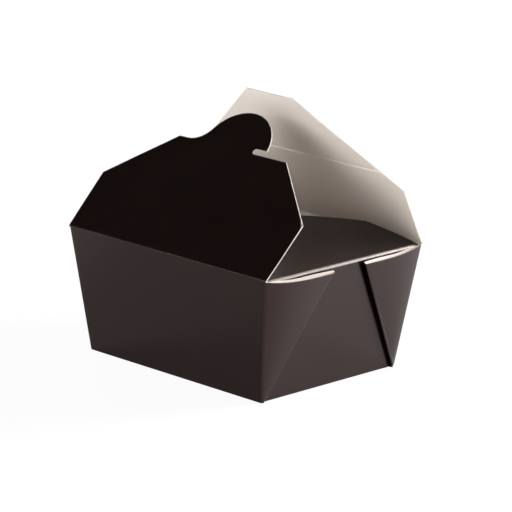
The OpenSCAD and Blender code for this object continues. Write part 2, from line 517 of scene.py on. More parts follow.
@dataclass
class Carton:
    """Base, walls, web corners and end flaps: the part of the sheet that stays folded.

    Lengths are in millimetres, angles in degrees, and step_start and step_run are shares
    of a web. base_ names the base, web_ and step_ the webs, rise_ the corners of the fold
    round the base, end_, narrow_ and flap_ the end flaps, and fold_ and join_share their
    folds.
    """

    wall_h: float
    base_l: float = 114.5
    base_w: float = 90.0
    top_l: float = 130.5
    top_w: float = 105.5
    base_fold: float = 0.25
    corner_r: float = 1.2
    base_r: float = 1.0
    pinch_gap: float = 0.02
    web_drop: float = 2.3
    web_step: float = 0.8
    step_start: float = 0.3
    step_run: float = 0.5
    front_web: WebSpring = WebSpring(
        lift=2.7, bow=4.6, spread=0.5, foot=0.0, narrow=-0.8, power=1.2
    )
    back_web: WebSpring = WebSpring(
        lift=1.6, bow=3.2, spread=0.3, foot=0.7, narrow=1.7, power=1.0
    )
    front_rise: float = 0.1
    back_rise: float = 1.5
    rise_start: float = 0.6
    rise_run: float = 3.0
    edge_bend: float = 3.2
    long_bow: float = 0.22
    end_bow: float = -0.12
    tip_wear: float = 0.45
    foot_wear: float = 0.3
    foot_wear_h: float = 0.5
    crease_gap: float = 0.4
    end_drop: float = 1.2
    end_reach: float = 60.0
    end_side: float = 30.0
    end_tip_w: float = 40.0
    end_gap: float = 0.6
    end_taper: float = 8.5
    end_rise: float = 15.0
    end_bow_r: float = 240.0
    end_press: float = 0.15
    end_overlap: float = 0.05
    narrow_start: float = 1.0
    narrow_run: float = 2.5
    fold_radius: float = 0.88
    join_share: float = 1.1
    # The end flaps' lighter crease band, partly worn print and partly a painted highlight, fades
    # out onto the flap here
    fold_wear_and_highlight_start: float = 0.8
    fold_wear_and_highlight_run: float = 0.5
    wall_rows: int = 30
    row_power: float = 0.9
    long_columns: int = 46
    end_columns: int = 36
    sole_rows: int = 4
    fold_steps: int = 12
    near_reaches: tuple[float, ...] = (1.6, 3.0)
    side_steps: int = 10
    tip_steps: int = 12
    flap_columns: int = 41

    @property
    def end_slope(self) -> float:
        """How far an end wall leans out for each millimetre of height."""
        return (self.top_l - self.base_l) / 2 / self.wall_h

    @property
    def long_lean(self) -> float:
        """Lean of the long walls, in radians."""
        return math.atan((self.top_w - self.base_w) / 2 / self.wall_h)

    @property
    def fold_reach(self) -> float:
        """Find where a web's fold meets the mouth, its two plies being of one length.

        Returns:
            Its place across the end wall, from the middle, in millimetres.
        """
        web_half = (math.pi / 2 - math.atan(self.end_slope) - self.long_lean) / 2
        slant = self.wall_h / math.cos(self.long_lean)
        return self.base_w / 2 - slant * math.tan(web_half - self.long_lean)

    @property
    def long_cut_z(self) -> float:
        """Height of the long walls' board, just under the flaps' creases."""
        return self.wall_h - BOARD_MM / 2 - self.crease_gap

    @property
    def crease_z(self) -> float:
        """Height of the end walls' creases."""
        return self.wall_h - self.end_drop

    @property
    def join_z(self) -> float:
        """Height where an end wall's rounded fold begins."""
        return self.crease_z - self.join_share * self.fold_radius

    def mouth_section(self, web: WebSpring = FLAT_WEB) -> CornerSection:
        """Lay out a corner's section at the mouth.

        Args:
            web: How far the web has sprung open.

        Returns:
            The section.
        """
        reach = self.fold_reach + web.narrow
        end_face, long_face = self.top_l / 2, self.top_w / 2
        return CornerSection(
            end_face, long_face, self.corner_r, reach, web.lift, web.bow, web.spread
        )

    def foot_section(self, inset: float, lift: float) -> CornerSection:
        """Lay out a corner's section at the base.

        Args:
            inset: How far it lies inside the base's outer faces.
            lift: How far the web's folded edge stands off the end wall.

        Returns:
            The section.
        """
        end_face, long_face = self.base_l / 2 - inset, self.base_w / 2 - inset
        pinch = self.base_r + self.mouth_section().tip_radius + BOARD_MM / 2 + self.pinch_gap
        return CornerSection(end_face, long_face, self.base_r, long_face - pinch, lift, 0)

    def corner(self, web: WebSpring) -> list[Column]:
        """Lay out one corner's columns.

        Args:
            web: How far the web has sprung open.

        Returns:
            The columns, from the long wall to the end wall.
        """
        sections = (
            self.foot_section(self.base_fold, web.foot),
            self.foot_section(0, web.foot),
            self.mouth_section(),
            self.mouth_section(web),
        )
        columns: list[Column] = []
        for sole, base, flat, top in zip(*(section.entries() for section in sections)):
            spring = top.place - flat.place
            columns.append(
                Column(
                    sole.place, base.place, base.out, flat.place, top.out,
                    spring, web.power, top.share, top.turn, top.part,
                )
            )
        return columns

    def ring(self) -> list[Column]:
        """Lay out the columns once round the box.

        Returns:
            The columns of the four corners and of the flat walls between them.
        """
        front, back = self.corner(self.front_web), self.corner(self.back_web)
        quadrants = [
            [c.moved(1, -1) for c in front],
            [c.moved(1, 1) for c in reversed(back)],
            [c.moved(-1, 1) for c in back],
            [c.moved(-1, -1) for c in reversed(front)],
        ]
        walls = [(Part.END_WALL, self.end_columns), (Part.LONG_WALL, self.long_columns)] * 2
        columns: list[Column] = []
        for k, (part, count) in enumerate(walls):
            columns += quadrants[k]
            first, last = quadrants[k][-1], quadrants[(k + 1) % 4][0]
            columns += [first.between(last, n / count, part) for n in range(1, count)]
        return columns

    def top_z(self, column: Column) -> float:
        """Find where a column's board ends.

        Args:
            column: The upright line.

        Returns:
            The height of its top.
        """
        if column.part in (Part.LONG_WALL, Part.BEND):
            return self.long_cut_z
        if column.part is Part.END_WALL:
            return self.join_z
        if column.part is Part.ROOT:
            section = self.mouth_section()
            back = abs(column.top[0]) - (self.top_l / 2 - section.stack - BOARD_MM / 2)
            share = min(max(back / (2 * section.root_radius), 0.0), 1.0)
            return mix(self.join_z, self.crease_z, share)
        level = 1 - (1 - column.share) ** self.edge_bend
        inner_level = 1 - (1 - column.share) ** (2 * self.edge_bend)
        outer = self.long_cut_z - self.web_drop * level
        step = self.web_step * ease((column.share - self.step_start) / self.step_run)
        inner = mix(self.crease_z, outer + step, inner_level)
        return mix(outer, inner, column.turn)

    def wall_bow(self, column: Column, share: float) -> float:
        """Work out how far a flat wall's board bows outward.

        Args:
            column: The upright line.
            share: The share of the wall's height.

        Returns:
            The distance outward, below zero on the end walls and 0 at the corners.
        """
        if column.part is Part.LONG_WALL:
            place, end, most = column.top[0], self.top_l / 2, self.long_bow
        elif column.part is Part.END_WALL:
            place, end, most = column.top[1], self.top_w / 2, self.end_bow
        else:
            return 0.0
        span = 1 - (place / (end - self.corner_r)) ** 2
        return most * max(span, 0) * math.sin(math.pi * share)

    def wall_place(self, column: Column, z: float, side: int) -> np.ndarray:
        """Return a point of the walls.

        Args:
            column: The upright line that the point is on.
            z: Its height.
            side: 1 for the printed side and -1 for the film side.

        Returns:
            The point, in millimetres.
        """
        share = z / self.wall_h
        edge_share = self.top_z(column) / self.wall_h
        sprung = edge_share * (share / edge_share) ** column.power
        out = unit(mix(column.base_out, column.top_out, share))
        place = mix(column.base, column.top, share) + column.spring * sprung
        place = place + out * (side * BOARD_MM / 2 + self.wall_bow(column, share))
        return np.array([place[0], place[1], z])

    def rise(self, column: Column) -> float:
        """Work out how much higher the fold round the base reaches at a corner.

        Args:
            column: The upright line.

        Returns:
            The added height, 0 away from the corners.
        """
        corner = np.array([self.base_l / 2, self.base_w / 2])
        away = float(np.linalg.norm(np.abs(column.base) - corner))
        most = self.front_rise if column.base[1] < 0 else self.back_rise
        return most * (1 - ease((away - self.rise_start) / self.rise_run))

    def sole_place(self, column: Column, share: float) -> np.ndarray:
        """Find a printed point on the rounded fold between the base and a wall.

        Args:
            column: The upright line that the point is on.
            share: The share of the way from the base to the wall.

        Returns:
            The point, in millimetres.
        """
        turn = share * math.pi / 2
        rise = self.rise(column)
        height = self.base_fold + rise
        low = column.sole + column.base_out * (BOARD_MM / 2 - rise)
        high = column.base + (column.top - column.base) * height / self.wall_h
        high = high + column.base_out * BOARD_MM / 2
        place = mix(low, high, math.sin(turn))
        return np.array([place[0], place[1], height * (1 - math.cos(turn))])

    def fold_share(self, column: Column, z: float) -> float:
        """Work out how much of a fold's wear a point of the walls has.

        Args:
            column: The upright line that the point is on.
            z: Its height.

        Returns:
            The share, from 0 to 1.
        """
        tip = self.tip_wear if column.part is Part.TIP else 0.0
        foot = self.foot_wear * (1 - ease(z / self.foot_wear_h))
        return max(tip, foot)

    def add_walls(self, board: BoardMesh) -> None:
        """Add the walls, web corners and base.

        Args:
            board: The carton's mesh.
        """
        ring = self.ring()
        count = len(ring)
        heights = np.linspace(0, 1, self.wall_rows) ** self.row_power
        wall = [[mix(BOARD_MM + self.rise(c), self.top_z(c), h) for c in ring] for h in heights]
        lining = [[mix(BOARD_MM, self.top_z(c), h) for c in ring] for h in heights]
        soles = np.linspace(0, 1, self.sole_rows + 1)
        outer_rows = [[self.sole_place(c, s) for c in ring] for s in soles]
        outer_rows += [[self.wall_place(c, z, 1) for c, z in zip(ring, row)] for row in wall]
        inner_rows = [[self.wall_place(c, z, -1) for c, z in zip(ring, row)] for row in lining]

        def add_rows(rows: list[list[np.ndarray]]) -> list[int]:
            """Add rows of points.

            Args:
                rows: The points of each row, once round the box.

            Returns:
                Each row's first number.
            """
            return [
                board.add_points(
                    np.array(row),
                    np.array([self.cut_distance(c, p[2]) for c, p in zip(ring, row)]),
                    np.array([self.fold_share(c, p[2]) for c, p in zip(ring, row)]),
                )
                for row in rows
            ]

        outer, inner = add_rows(outer_rows), add_rows(inner_rows)
        for low, high in zip(outer, outer[1:]):
            for k in range(count):
                n = (k + 1) % count
                board.add_face((low + k, low + n, high + n, high + k), Side.PRINTED)
        for low, high in zip(inner, inner[1:]):
            for k in range(count):
                n = (k + 1) % count
                board.add_face((low + n, low + k, high + k, high + n), Side.FILM)
        shift = inner[-1] - outer[-1]
        rim = [(outer[-1] + (k + 1) % count, outer[-1] + k) for k in range(count)]
        board.add_border(rim, lambda k: k + shift)
        board.add_face(tuple(outer[0] + k for k in reversed(range(count))), Side.PRINTED, True)
        board.add_face(tuple(inner[0] + k for k in range(count)), Side.FILM, True)
        for k in range(count):
            board.mark_sharp(inner[0] + k, inner[0] + (k + 1) % count)

    def cut_distance(self, column: Column, z: float) -> float:
        """Work out how far a point of the walls is from the webs' cut edges.

        Args:
            column: The upright line that the point is on.
            z: Its height.

        Returns:
            The distance, far away on the walls themselves.
        """
        if column.part in (Part.OUTER_PLY, Part.TIP, Part.INNER_PLY):
            return self.top_z(column) - z
        return FAR_FROM_CUT_MM

    def end_half(self, reach: float) -> float:
        """Work out half an end flap's width.

        Args:
            reach: The distance from its crease.

        Returns:
            Half its width there.
        """
        side = self.top_w / 2 - BOARD_MM - self.end_gap
        taper = math.tan(math.radians(self.end_taper))
        shoulder = side - self.end_side * taper
        if reach <= self.end_side:
            return side - reach * taper
        share = (reach - self.end_side) / (self.end_reach - self.end_side)
        return mix(shoulder, self.end_tip_w / 2, share)

    def end_share(self, y: float) -> float:
        """Return the share of the full rise that an end flap has at y."""
        turn = math.pi / 2 * (y + self.top_w / 2) / self.top_w
        return self.end_press + (1 - self.end_press) * math.sin(turn)

    def end_lift(self, reach: float, y: float) -> float:
        """Return an end flap's height above its crease, at a reach and y."""
        rise = reach * math.tan(math.radians(self.end_rise)) - reach**2 / (2 * self.end_bow_r)
        return self.end_share(y) * rise

    def end_profile(self) -> list[tuple[Stretch, float]]:
        """Lay out the steps of an end flap's section.

        Returns:
            Each step's stretch and value, from the wall over the fold to the inner edge.
        """
        steps = [(Stretch.WALL, share) for share in (0.0, 0.5)]
        steps += [(Stretch.FOLD, k / self.fold_steps) for k in range(self.fold_steps + 1)]
        sides = [self.end_side * k / self.side_steps for k in range(2, self.side_steps + 1)]
        tips = [
            mix(self.end_side, self.end_reach, k / self.tip_steps)
            for k in range(1, self.tip_steps + 1)
        ]
        return steps + [(Stretch.FLAP, reach) for reach in (*self.near_reaches, *sides, *tips)]

    def end_point(self, stretch: Stretch, value: float, across: float) -> np.ndarray:
        """Find a middle point of the +X end flap, its fold or the top of its wall.

        Args:
            stretch: The stretch that it is on.
            value: The share along the wall or fold, or the reach over the mouth.
            across: The place across the flap, from -1 to 1.

        Returns:
            The point, in millimetres.
        """
        wall_x = self.base_l / 2 - self.mouth_section().stack - BOARD_MM / 2
        crease = np.array([wall_x + self.end_slope * self.crease_z, self.crease_z])
        narrow = self.top_w / 2 - self.corner_r + self.end_overlap
        if stretch is Stretch.FLAP:
            wide = ease((value - self.narrow_start) / self.narrow_run)
            y = mix(narrow, self.end_half(value), wide) * across
            return np.array([crease[0] - value, y, crease[1] + self.end_lift(value, y)])
        y = narrow * across
        up = unit(np.array([self.end_slope, 1.0]))
        tilt = math.atan(self.end_share(y) * math.tan(math.radians(self.end_rise)))
        over = np.array([-math.cos(tilt), math.sin(tilt)])
        turn = math.acos(float(np.clip(up @ over, -1, 1)))
        tangent = self.fold_radius * math.tan(turn / 2)
        start = crease - tangent * up
        if stretch is Stretch.WALL:
            low = np.array([wall_x + self.end_slope * self.join_z, self.join_z])
            place = mix(low, start, value)
        else:
            centre = start + self.fold_radius * left_of(up)
            angle = turn * value
            place = centre - self.fold_radius * (
                math.cos(angle) * left_of(up) - math.sin(angle) * up
            )
        return np.array([place[0], y, place[1]])

    def end_wear_and_highlight(self, stretch: Stretch, value: float) -> float:
        """Work out the fold's wear and painted highlight along an end flap's section.

        Args:
            stretch: The stretch that the point is on.
            value: The share along the wall or fold, or the reach over the mouth.

        Returns:
            The share, from 0 to 1.
        """
        # The rounded fold gets the full lighter band: partly worn print, partly a painted highlight
        if stretch is Stretch.FOLD:
            return 1.0
        if stretch is Stretch.WALL:
            return 0.0
        return 1 - ease((value - self.fold_wear_and_highlight_start) / self.fold_wear_and_highlight_run)

    def add_end_flap(self, board: BoardMesh, side: int) -> None:
        """Add one end flap with its rounded fold.

        Args:
            board: The carton's mesh.
            side: 1 for the +X end and -1 for the other.
        """
        steps = self.end_profile()
        spread = np.linspace(-1, 1, self.flap_columns)
        middle = np.array([
            [self.end_point(stretch, value, c) for c in spread] for stretch, value in steps
        ])
        inside = np.array([0.0, 0.0, self.wall_h / 2])
        printed = grid_normals(middle, middle - inside)
        # The first row lies against the wall's board, whose print looks along X
        printed[0] = [1, 0, 0]
        edge = np.array([
            [
                min(self.end_half(value) * (1 - abs(c)), self.end_reach - value)
                if stretch is Stretch.FLAP else FAR_FROM_CUT_MM
                for c in spread
            ]
            for stretch, value in steps
        ])
        # Lighter band over the fold: partly worn print, partly a painted highlight
        wear_highlight_share = [self.end_wear_and_highlight(stretch, value) for stretch, value in steps]
        fold = np.outer(wear_highlight_share, np.ones(len(spread)))
        flip = np.array([side, 1, 1])
        board.add_sheet(Sheet.from_grid(middle * flip, printed * flip, edge, fold))

    def build(self, finishes: dict[Side, bpy.types.Material]) -> None:
        """Build the folded carton and put it on its body.

        Args:
            finishes: The material of each kind of surface.
        """
        board = BoardMesh("carton_board")
        self.add_walls(board)
        for side in (1, -1):
            self.add_end_flap(board, side)
        made = board.make(finishes)
        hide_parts("carton")
        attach(made, "carton")


@dataclass
class LongFlap:
    """A flap that turns about the crease of a long wall.

    hinge is its hinge line's (y, z), lean its lean over the mouth in degrees and side -1
    for the front wall and 1 for the back wall. A reach is a distance from the hinge line,
    and shoulder and top are reaches. skin_reach is where the crease's strip ends and the
    flap's own board begins, and crease_wear_and_highlight the wear and painted highlight at
    the strip's low edge, over its bend and at its high edge. cell is the size of the plan's
    faces, and hook_lines how many rows of them lie past the top edge.
    """

    name: str
    hinge: tuple[float, float]
    lean: float
    side: int
    carton: Carton
    shoulder: float
    top: float
    top_edge: float
    flap_end: float = 0.1
    flare: float = 0.9
    skin_reach: float = 0.9
    crease_radius: float = 0.55
    crease_steps: int = 8
    crease_columns: int = 61
    # Lighter crease strip: partly worn print, partly a painted highlight on the bend
    crease_wear_and_highlight: tuple[float, float, float] = (0.2, 0.55, 0.3)
    cell: float = 3.0
    near_reach: float = 1.6
    hook_lines: int = 7
    curl: float = 0.25
    curl_reach: float = 12.0
    curl_shift: float = 1.2
    curl_span: float = 1.7
    foot_wear: float = 0.3
    foot_wear_run: float = 0.4

    @property
    def half(self) -> float:
        """Half the flap's length along its crease."""
        return self.carton.top_l / 2 - self.flap_end

    def axes(self) -> tuple[np.ndarray, np.ndarray]:
        """Work out the flap's directions.

        Returns:
            The direction up the flap and the one to its printed side.
        """
        lean = math.radians(self.lean)
        up = np.array([0, -self.side * math.sin(lean), math.cos(lean)])
        printed = np.array([0, self.side * math.cos(lean), math.sin(lean)])
        return up, printed

    def half_at(self, reach: float) -> float:
        """Return half the flap's length at a reach up to its shoulder."""
        return self.half + (self.flare + self.flap_end) * reach / self.shoulder

    def outlines(self) -> list[list[tuple[float, float]]]:
        """Return the flap's outline as one or more polygons that share edges."""
        raise NotImplementedError

    def offset(self, along: float, reach: float) -> float:
        """Work out how far the board curls to its printed side.

        Args:
            along: The place along the flap.
            reach: The place up the flap.

        Returns:
            The distance.
        """
        past = ease((reach - self.shoulder) / (self.top - self.shoulder))
        held = ease(reach / self.curl_reach) * (1 - past)
        wave = math.pi * (along / self.half + self.curl_shift) / self.curl_span
        return self.curl * held * math.sin(wave)

    def fold_share(self, along: float, reach: float) -> float:
        """Return the crease's wear at a point of the flap."""
        return self.foot_wear * (1 - ease((reach - self.skin_reach) / self.foot_wear_run))

    def cut_lines(self) -> list[tuple[float, bool]]:
        """Lay out the lines that the flap's plan is divided along.

        Returns:
            Each line's place, and whether the place is a reach.
        """
        wide = int(2 * self.half / self.cell)
        lines = [(mix(-self.half, self.half, k / wide), False) for k in range(1, wide)]
        tall = int(self.top / self.cell)
        rows = range(1, tall + self.hook_lines + 1)
        return lines + [(self.top * k / tall, True) for k in rows] + [(self.near_reach, True)]

    def plan(self) -> bmesh.types.BMesh:
        """Draw the flap's flat plan.

        Returns:
            The plan, divided into small faces.
        """
        plan = bmesh.new()
        for outline in self.outlines():
            corners = [plan.verts.new((x, y, 0)) for x, y in outline]
            plan.faces.new(corners)
        bmesh.ops.remove_doubles(plan, verts=plan.verts, dist=SAME_POINT_MM)
        for place, is_reach in self.cut_lines():
            point = (0, place, 0) if is_reach else (place, 0, 0)
            normal = (0, 1, 0) if is_reach else (1, 0, 0)
            geometry = plan.verts[:] + plan.edges[:] + plan.faces[:]
            bmesh.ops.bisect_plane(
                plan, geom=geometry, plane_co=point, plane_no=normal, dist=SAME_POINT_MM
            )
        return plan

    def sheet(self) -> Sheet:
        """Bend the flap's plan into its place.

        Returns:
            The flap as a sheet of board.
        """
        plan = self.plan()
        plan.verts.index_update()
        flat = np.array([v.co[:2] for v in plan.verts])
        faces = [tuple(v.index for v in f.verts) for f in plan.faces]
        cuts = np.array([
            [e.verts[0].co[:2], e.verts[1].co[:2]]
            for e in plan.edges
            if e.is_boundary
            and max(v.co[1] for v in e.verts) > self.skin_reach + 10 * SAME_POINT_MM
        ])
        plan.free()
        up, printed = self.axes()
        foot = np.array([0, *self.hinge])
        offsets = np.array([self.offset(u, v) for u, v in flat])
        middle = foot + np.outer(flat[:, 0], [1, 0, 0]) + np.outer(flat[:, 1], up)
        middle = middle + np.outer(offsets, printed)
        edge = distance_to(flat, cuts)
        fold = np.array([self.fold_share(u, v) for u, v in flat])
        return Sheet(middle, np.tile(printed, (len(flat), 1)), faces, edge, fold)

    def crease_skin(self) -> tuple[Sheet, np.ndarray, np.ndarray]:
        """Bend the strip of board that joins the flap to its wall.

        Returns:
            The strip, and the points where it meets the wall and the flap.
        """
        up, printed = self.axes()
        lean = self.carton.long_lean
        wall_up = np.array([0, self.side * math.sin(lean), math.cos(lean)])
        axis = np.array([0, *self.hinge])
        turn = math.acos(float(wall_up @ up))
        tangent = self.crease_radius * math.tan(turn / 2)
        low = axis - wall_up * (axis[2] - self.carton.long_cut_z) / wall_up[2]
        high = axis + up * self.skin_reach
        start = axis - wall_up * tangent
        inward = np.array([0, -self.side * math.cos(lean), math.sin(lean)])
        centre = start + self.crease_radius * inward
        places = [low]
        for k in range(self.crease_steps + 1):
            angle = turn * k / self.crease_steps
            spoke = math.cos(angle) * inward - math.sin(angle) * wall_up
            places.append(centre - self.crease_radius * spoke)
        places.append(high)
        spread = np.linspace(-1, 1, self.crease_columns)
        middle = np.array([[p + np.array([self.half * c, 0, 0]) for c in spread] for p in places])
        normals = grid_normals(middle, printed + np.array([0, self.side, 0]))
        # The strip's two long edges face as the wall and the flap that they meet
        normals[0] = [0, self.side, 0]
        normals[-1] = printed
        edge = np.array([[self.half * (1 - abs(c)) for c in spread] for _ in places])
        # The strip is painted lighter, partly worn print and partly a painted highlight on its bend
        first, bent, last = self.crease_wear_and_highlight
        wear_highlight_share = [first] + [bent] * (len(places) - 2) + [last]
        fold = np.outer(wear_highlight_share, np.ones(len(spread)))
        return Sheet.from_grid(middle, normals, edge, fold), low, high

    def build(self, finishes: dict[Side, bpy.types.Material], slot: str) -> None:
        """Build the flap and its crease, and put the flap on its body.

        Args:
            finishes: The material of each kind of surface.
            slot: The record's material slot of the flap; not used.
        """
        board = BoardMesh(f"{self.name}_board")
        board.add_sheet(self.sheet())
        made = board.make(finishes)
        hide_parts(self.name)
        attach(made, self.name)
        crease = BoardMesh(f"{self.name}_crease")
        skin, low, high = self.crease_skin()
        crease.add_sheet(skin)
        bent = crease.make(finishes)
        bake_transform(bent)


def distance_to(points: np.ndarray, segments: np.ndarray) -> np.ndarray:
    """Measure each point's distance from the nearest of some segments.

    Args:
        points: Plane points, as n by 2.
        segments: Segments, as m by 2 by 2.

    Returns:
        One distance for each point.
    """
    start, run = segments[:, 0], segments[:, 1] - segments[:, 0]
    offset = points[:, None] - start[None]
    share = np.clip((offset * run).sum(-1) / np.maximum((run * run).sum(-1), TINY), 0, 1)
    gap = offset - share[..., None] * run[None]
    return np.sqrt((gap * gap).sum(-1)).min(axis=1)


def arc(
    centre: tuple[float, float], radius: float, start: float, end: float, steps: int
) -> list[tuple[float, float]]:
    """Return the points of an arc, both ends included.

    Args:
        centre: The arc's centre.
        radius: Its radius.
        start: Its first angle, in degrees.
        end: Its last angle, in degrees.
        steps: How many straight steps it has.

    Returns:
        The points.
    """
    angles = (math.radians(mix(start, end, k / steps)) for k in range(steps + 1))
    return [(centre[0] + radius * math.cos(a), centre[1] + radius * math.sin(a)) for a in angles]


@dataclass
class TabFlap(LongFlap):
    """The front flap, whose top edge carries the round hook.

    hook_x and hook_rise place the hook's centre over the middle of the top edge,
    hook_fillet is the hollow's radius on its left, and the barb hangs over a slot
    barb_gap wide on its right.
    """

    hook_r: float = 20.3
    hook_x: float = 0.4
    hook_rise: float = 0.4
    hook_fillet: float = 12.0
    barb_gap: float = 2.8
    barb_l: float = 8.0

    def outlines(self) -> list[list[tuple[float, float]]]:
        """Draw the outline: shoulders, slanting sides, undercut, hook and hollow.

        Returns:
            One polygon.
        """
        wide, foot_half = self.half_at(self.shoulder), self.half_at(self.skin_reach)
        foot = (self.hook_x, self.top + self.hook_rise)
        slot_x = self.hook_x + self.hook_r - self.barb_l + self.barb_gap / 2
        span = (self.hook_r + self.hook_fillet) ** 2 - (self.hook_fillet - self.hook_rise) ** 2
        hollow = (self.hook_x - math.sqrt(span), self.top + self.hook_fillet)
        barb_angle = math.degrees(math.asin((self.barb_gap - self.hook_rise) / self.hook_r))
        touch = math.degrees(math.atan2(hollow[1] - foot[1], hollow[0] - foot[0]))
        slot_end = (slot_x, self.top + self.barb_gap / 2)
        undercut = arc(slot_end, self.barb_gap / 2, start=270, end=90, steps=10)
        hook = arc(foot, self.hook_r, start=barb_angle, end=touch, steps=64)
        scoop = arc(hollow, self.hook_fillet, start=touch - 180, end=-90, steps=16)
        outline = [(-foot_half, self.skin_reach), (foot_half, self.skin_reach)]
        outline += [(wide, self.shoulder), (self.top_edge / 2, self.top)]
        outline += undercut + hook + scoop[1:]
        return [outline + [(-self.top_edge / 2, self.top), (-wide, self.shoulder)]]


@dataclass
class SlotFlap(LongFlap):
    """The back flap, whose slit takes the hook and whose score line runs beside it.

    slit_spring is how far the slit's lips stand off the board, over slit_held on each
    side. slit_end is the length over which each of its ends closes. score_lines are the
    plan's close dividing lines on each side of the score.
    """

    slit_reach: float = 41.0
    slit_l: float = 38.0
    slit_right: float = 16.7
    slit_w: float = 0.2
    slit_end: float = 0.6
    slit_spring: float = 0.13
    slit_held: float = 9.0
    score_w: float = 0.8
    score_d: float = 0.28
    # The score line is painted lighter: partly worn film, partly a painted highlight on its groove
    score_wear_and_highlight: float = 1.0
    score_wear_and_highlight_half: float = 0.2
    score_wear_and_highlight_run: float = 0.4
    score_lines: tuple[float, ...] = (0.25, 0.5, 0.9, 1.6)
    corner_lift: float = 0.9

    @property
    def slit_left(self) -> float:
        """Place of the slit's left end."""
        return self.slit_right - self.slit_l

    def outlines(self) -> list[list[tuple[float, float]]]:
        """Draw the board below the slit and the board above it.

        Returns:
            Two polygons, which share the line beside the slit.
        """
        wide, foot_half = self.half_at(self.shoulder), self.half_at(self.skin_reach)
        share = (self.slit_reach - self.shoulder) / (self.top - self.shoulder)
        edge = mix(wide, self.top_edge / 2, share)
        level, half = self.slit_reach, self.slit_w / 2
        left, right = self.slit_left, self.slit_right
        open_left, open_right = left + self.slit_end, right - self.slit_end
        lower = [(-foot_half, self.skin_reach), (foot_half, self.skin_reach), (wide, self.shoulder)]
        lower += [(edge, level), (right, level), (open_right, level - half)]
        lower += [(open_left, level - half), (left, level), (-edge, level)]
        lower += [(-wide, self.shoulder)]
        upper = [(edge, level), (self.top_edge / 2, self.top), (-self.top_edge / 2, self.top)]
        upper += [(-edge, level), (left, level), (open_left, level + half)]
        upper += [(open_right, level + half), (right, level)]
        return [lower, upper]

    def cut_lines(self) -> list[tuple[float, bool]]:
        """Lay out the plan's dividing lines, with close ones along the score.

        Returns:
            Each line's place, and whether the place is a reach.
        """
        below = [-s for s in reversed(self.score_lines)]
        close = [(self.slit_reach + s, True) for s in (*below, *self.score_lines)]
        return super().cut_lines() + close

    def offset(self, along: float, reach: float) -> float:
        """Work out the board's curl, the lips' spring at the slit and the score's groove.

        Args:
            along: The place along the flap.
            reach: The place up the flap.

        Returns:
            The distance to the printed side.
        """
        past = (reach - self.shoulder) / (self.top - self.shoulder)
        lift = self.corner_lift * max(along / self.half, 0) * ease(reach / self.shoulder)
        bend = super().offset(along, reach) + lift * (1 - ease(past))
        gap = reach - self.slit_reach
        middle = (self.slit_left + self.slit_right) / 2
        span = 1 - ((along - middle) / (self.slit_right - middle)) ** 2
        if span > 0:
            near = 1 - ease(abs(gap) / self.slit_held)
            return bend + self.slit_spring * span * near * (1 if gap > 0 else -1)
        return bend + self.score_d * math.exp(-((gap / (self.score_w / 2)) ** 2))

    def fold_share(self, along: float, reach: float) -> float:
        """Work out the wear at the crease, and the wear and painted highlight along the score.

        Args:
            along: The place along the flap.
            reach: The place up the flap.

        Returns:
            The share, from 0 to 1.
        """
        score = 0.0 if self.slit_left < along < self.slit_right else self.score_wear_and_highlight
        away = abs(reach - self.slit_reach) - self.score_wear_and_highlight_half
        near = 1 - ease(away / self.score_wear_and_highlight_run)
        return max(super().fold_share(along, reach), score * near)


def new_group(name: str, inputs: dict[str, float], outputs: tuple[str, ...]) -> bpy.types.NodeTree:
    """Start a shader node group whose sockets are all plain numbers.

    Args:
        name: The group's name.
        inputs: Its inputs' names and values.
        outputs: Its outputs' names.

    Returns:
        The group, without nodes.
    """
    group = bpy.data.node_groups.new(name, "ShaderNodeTree")
    for title, value in inputs.items():
        socket = group.interface.new_socket(
            name=title, in_out="INPUT", socket_type="NodeSocketFloat"
        )
        socket.default_value = value
    for title in outputs:
        group.interface.new_socket(name=title, in_out="OUTPUT", socket_type="NodeSocketFloat")
    return group


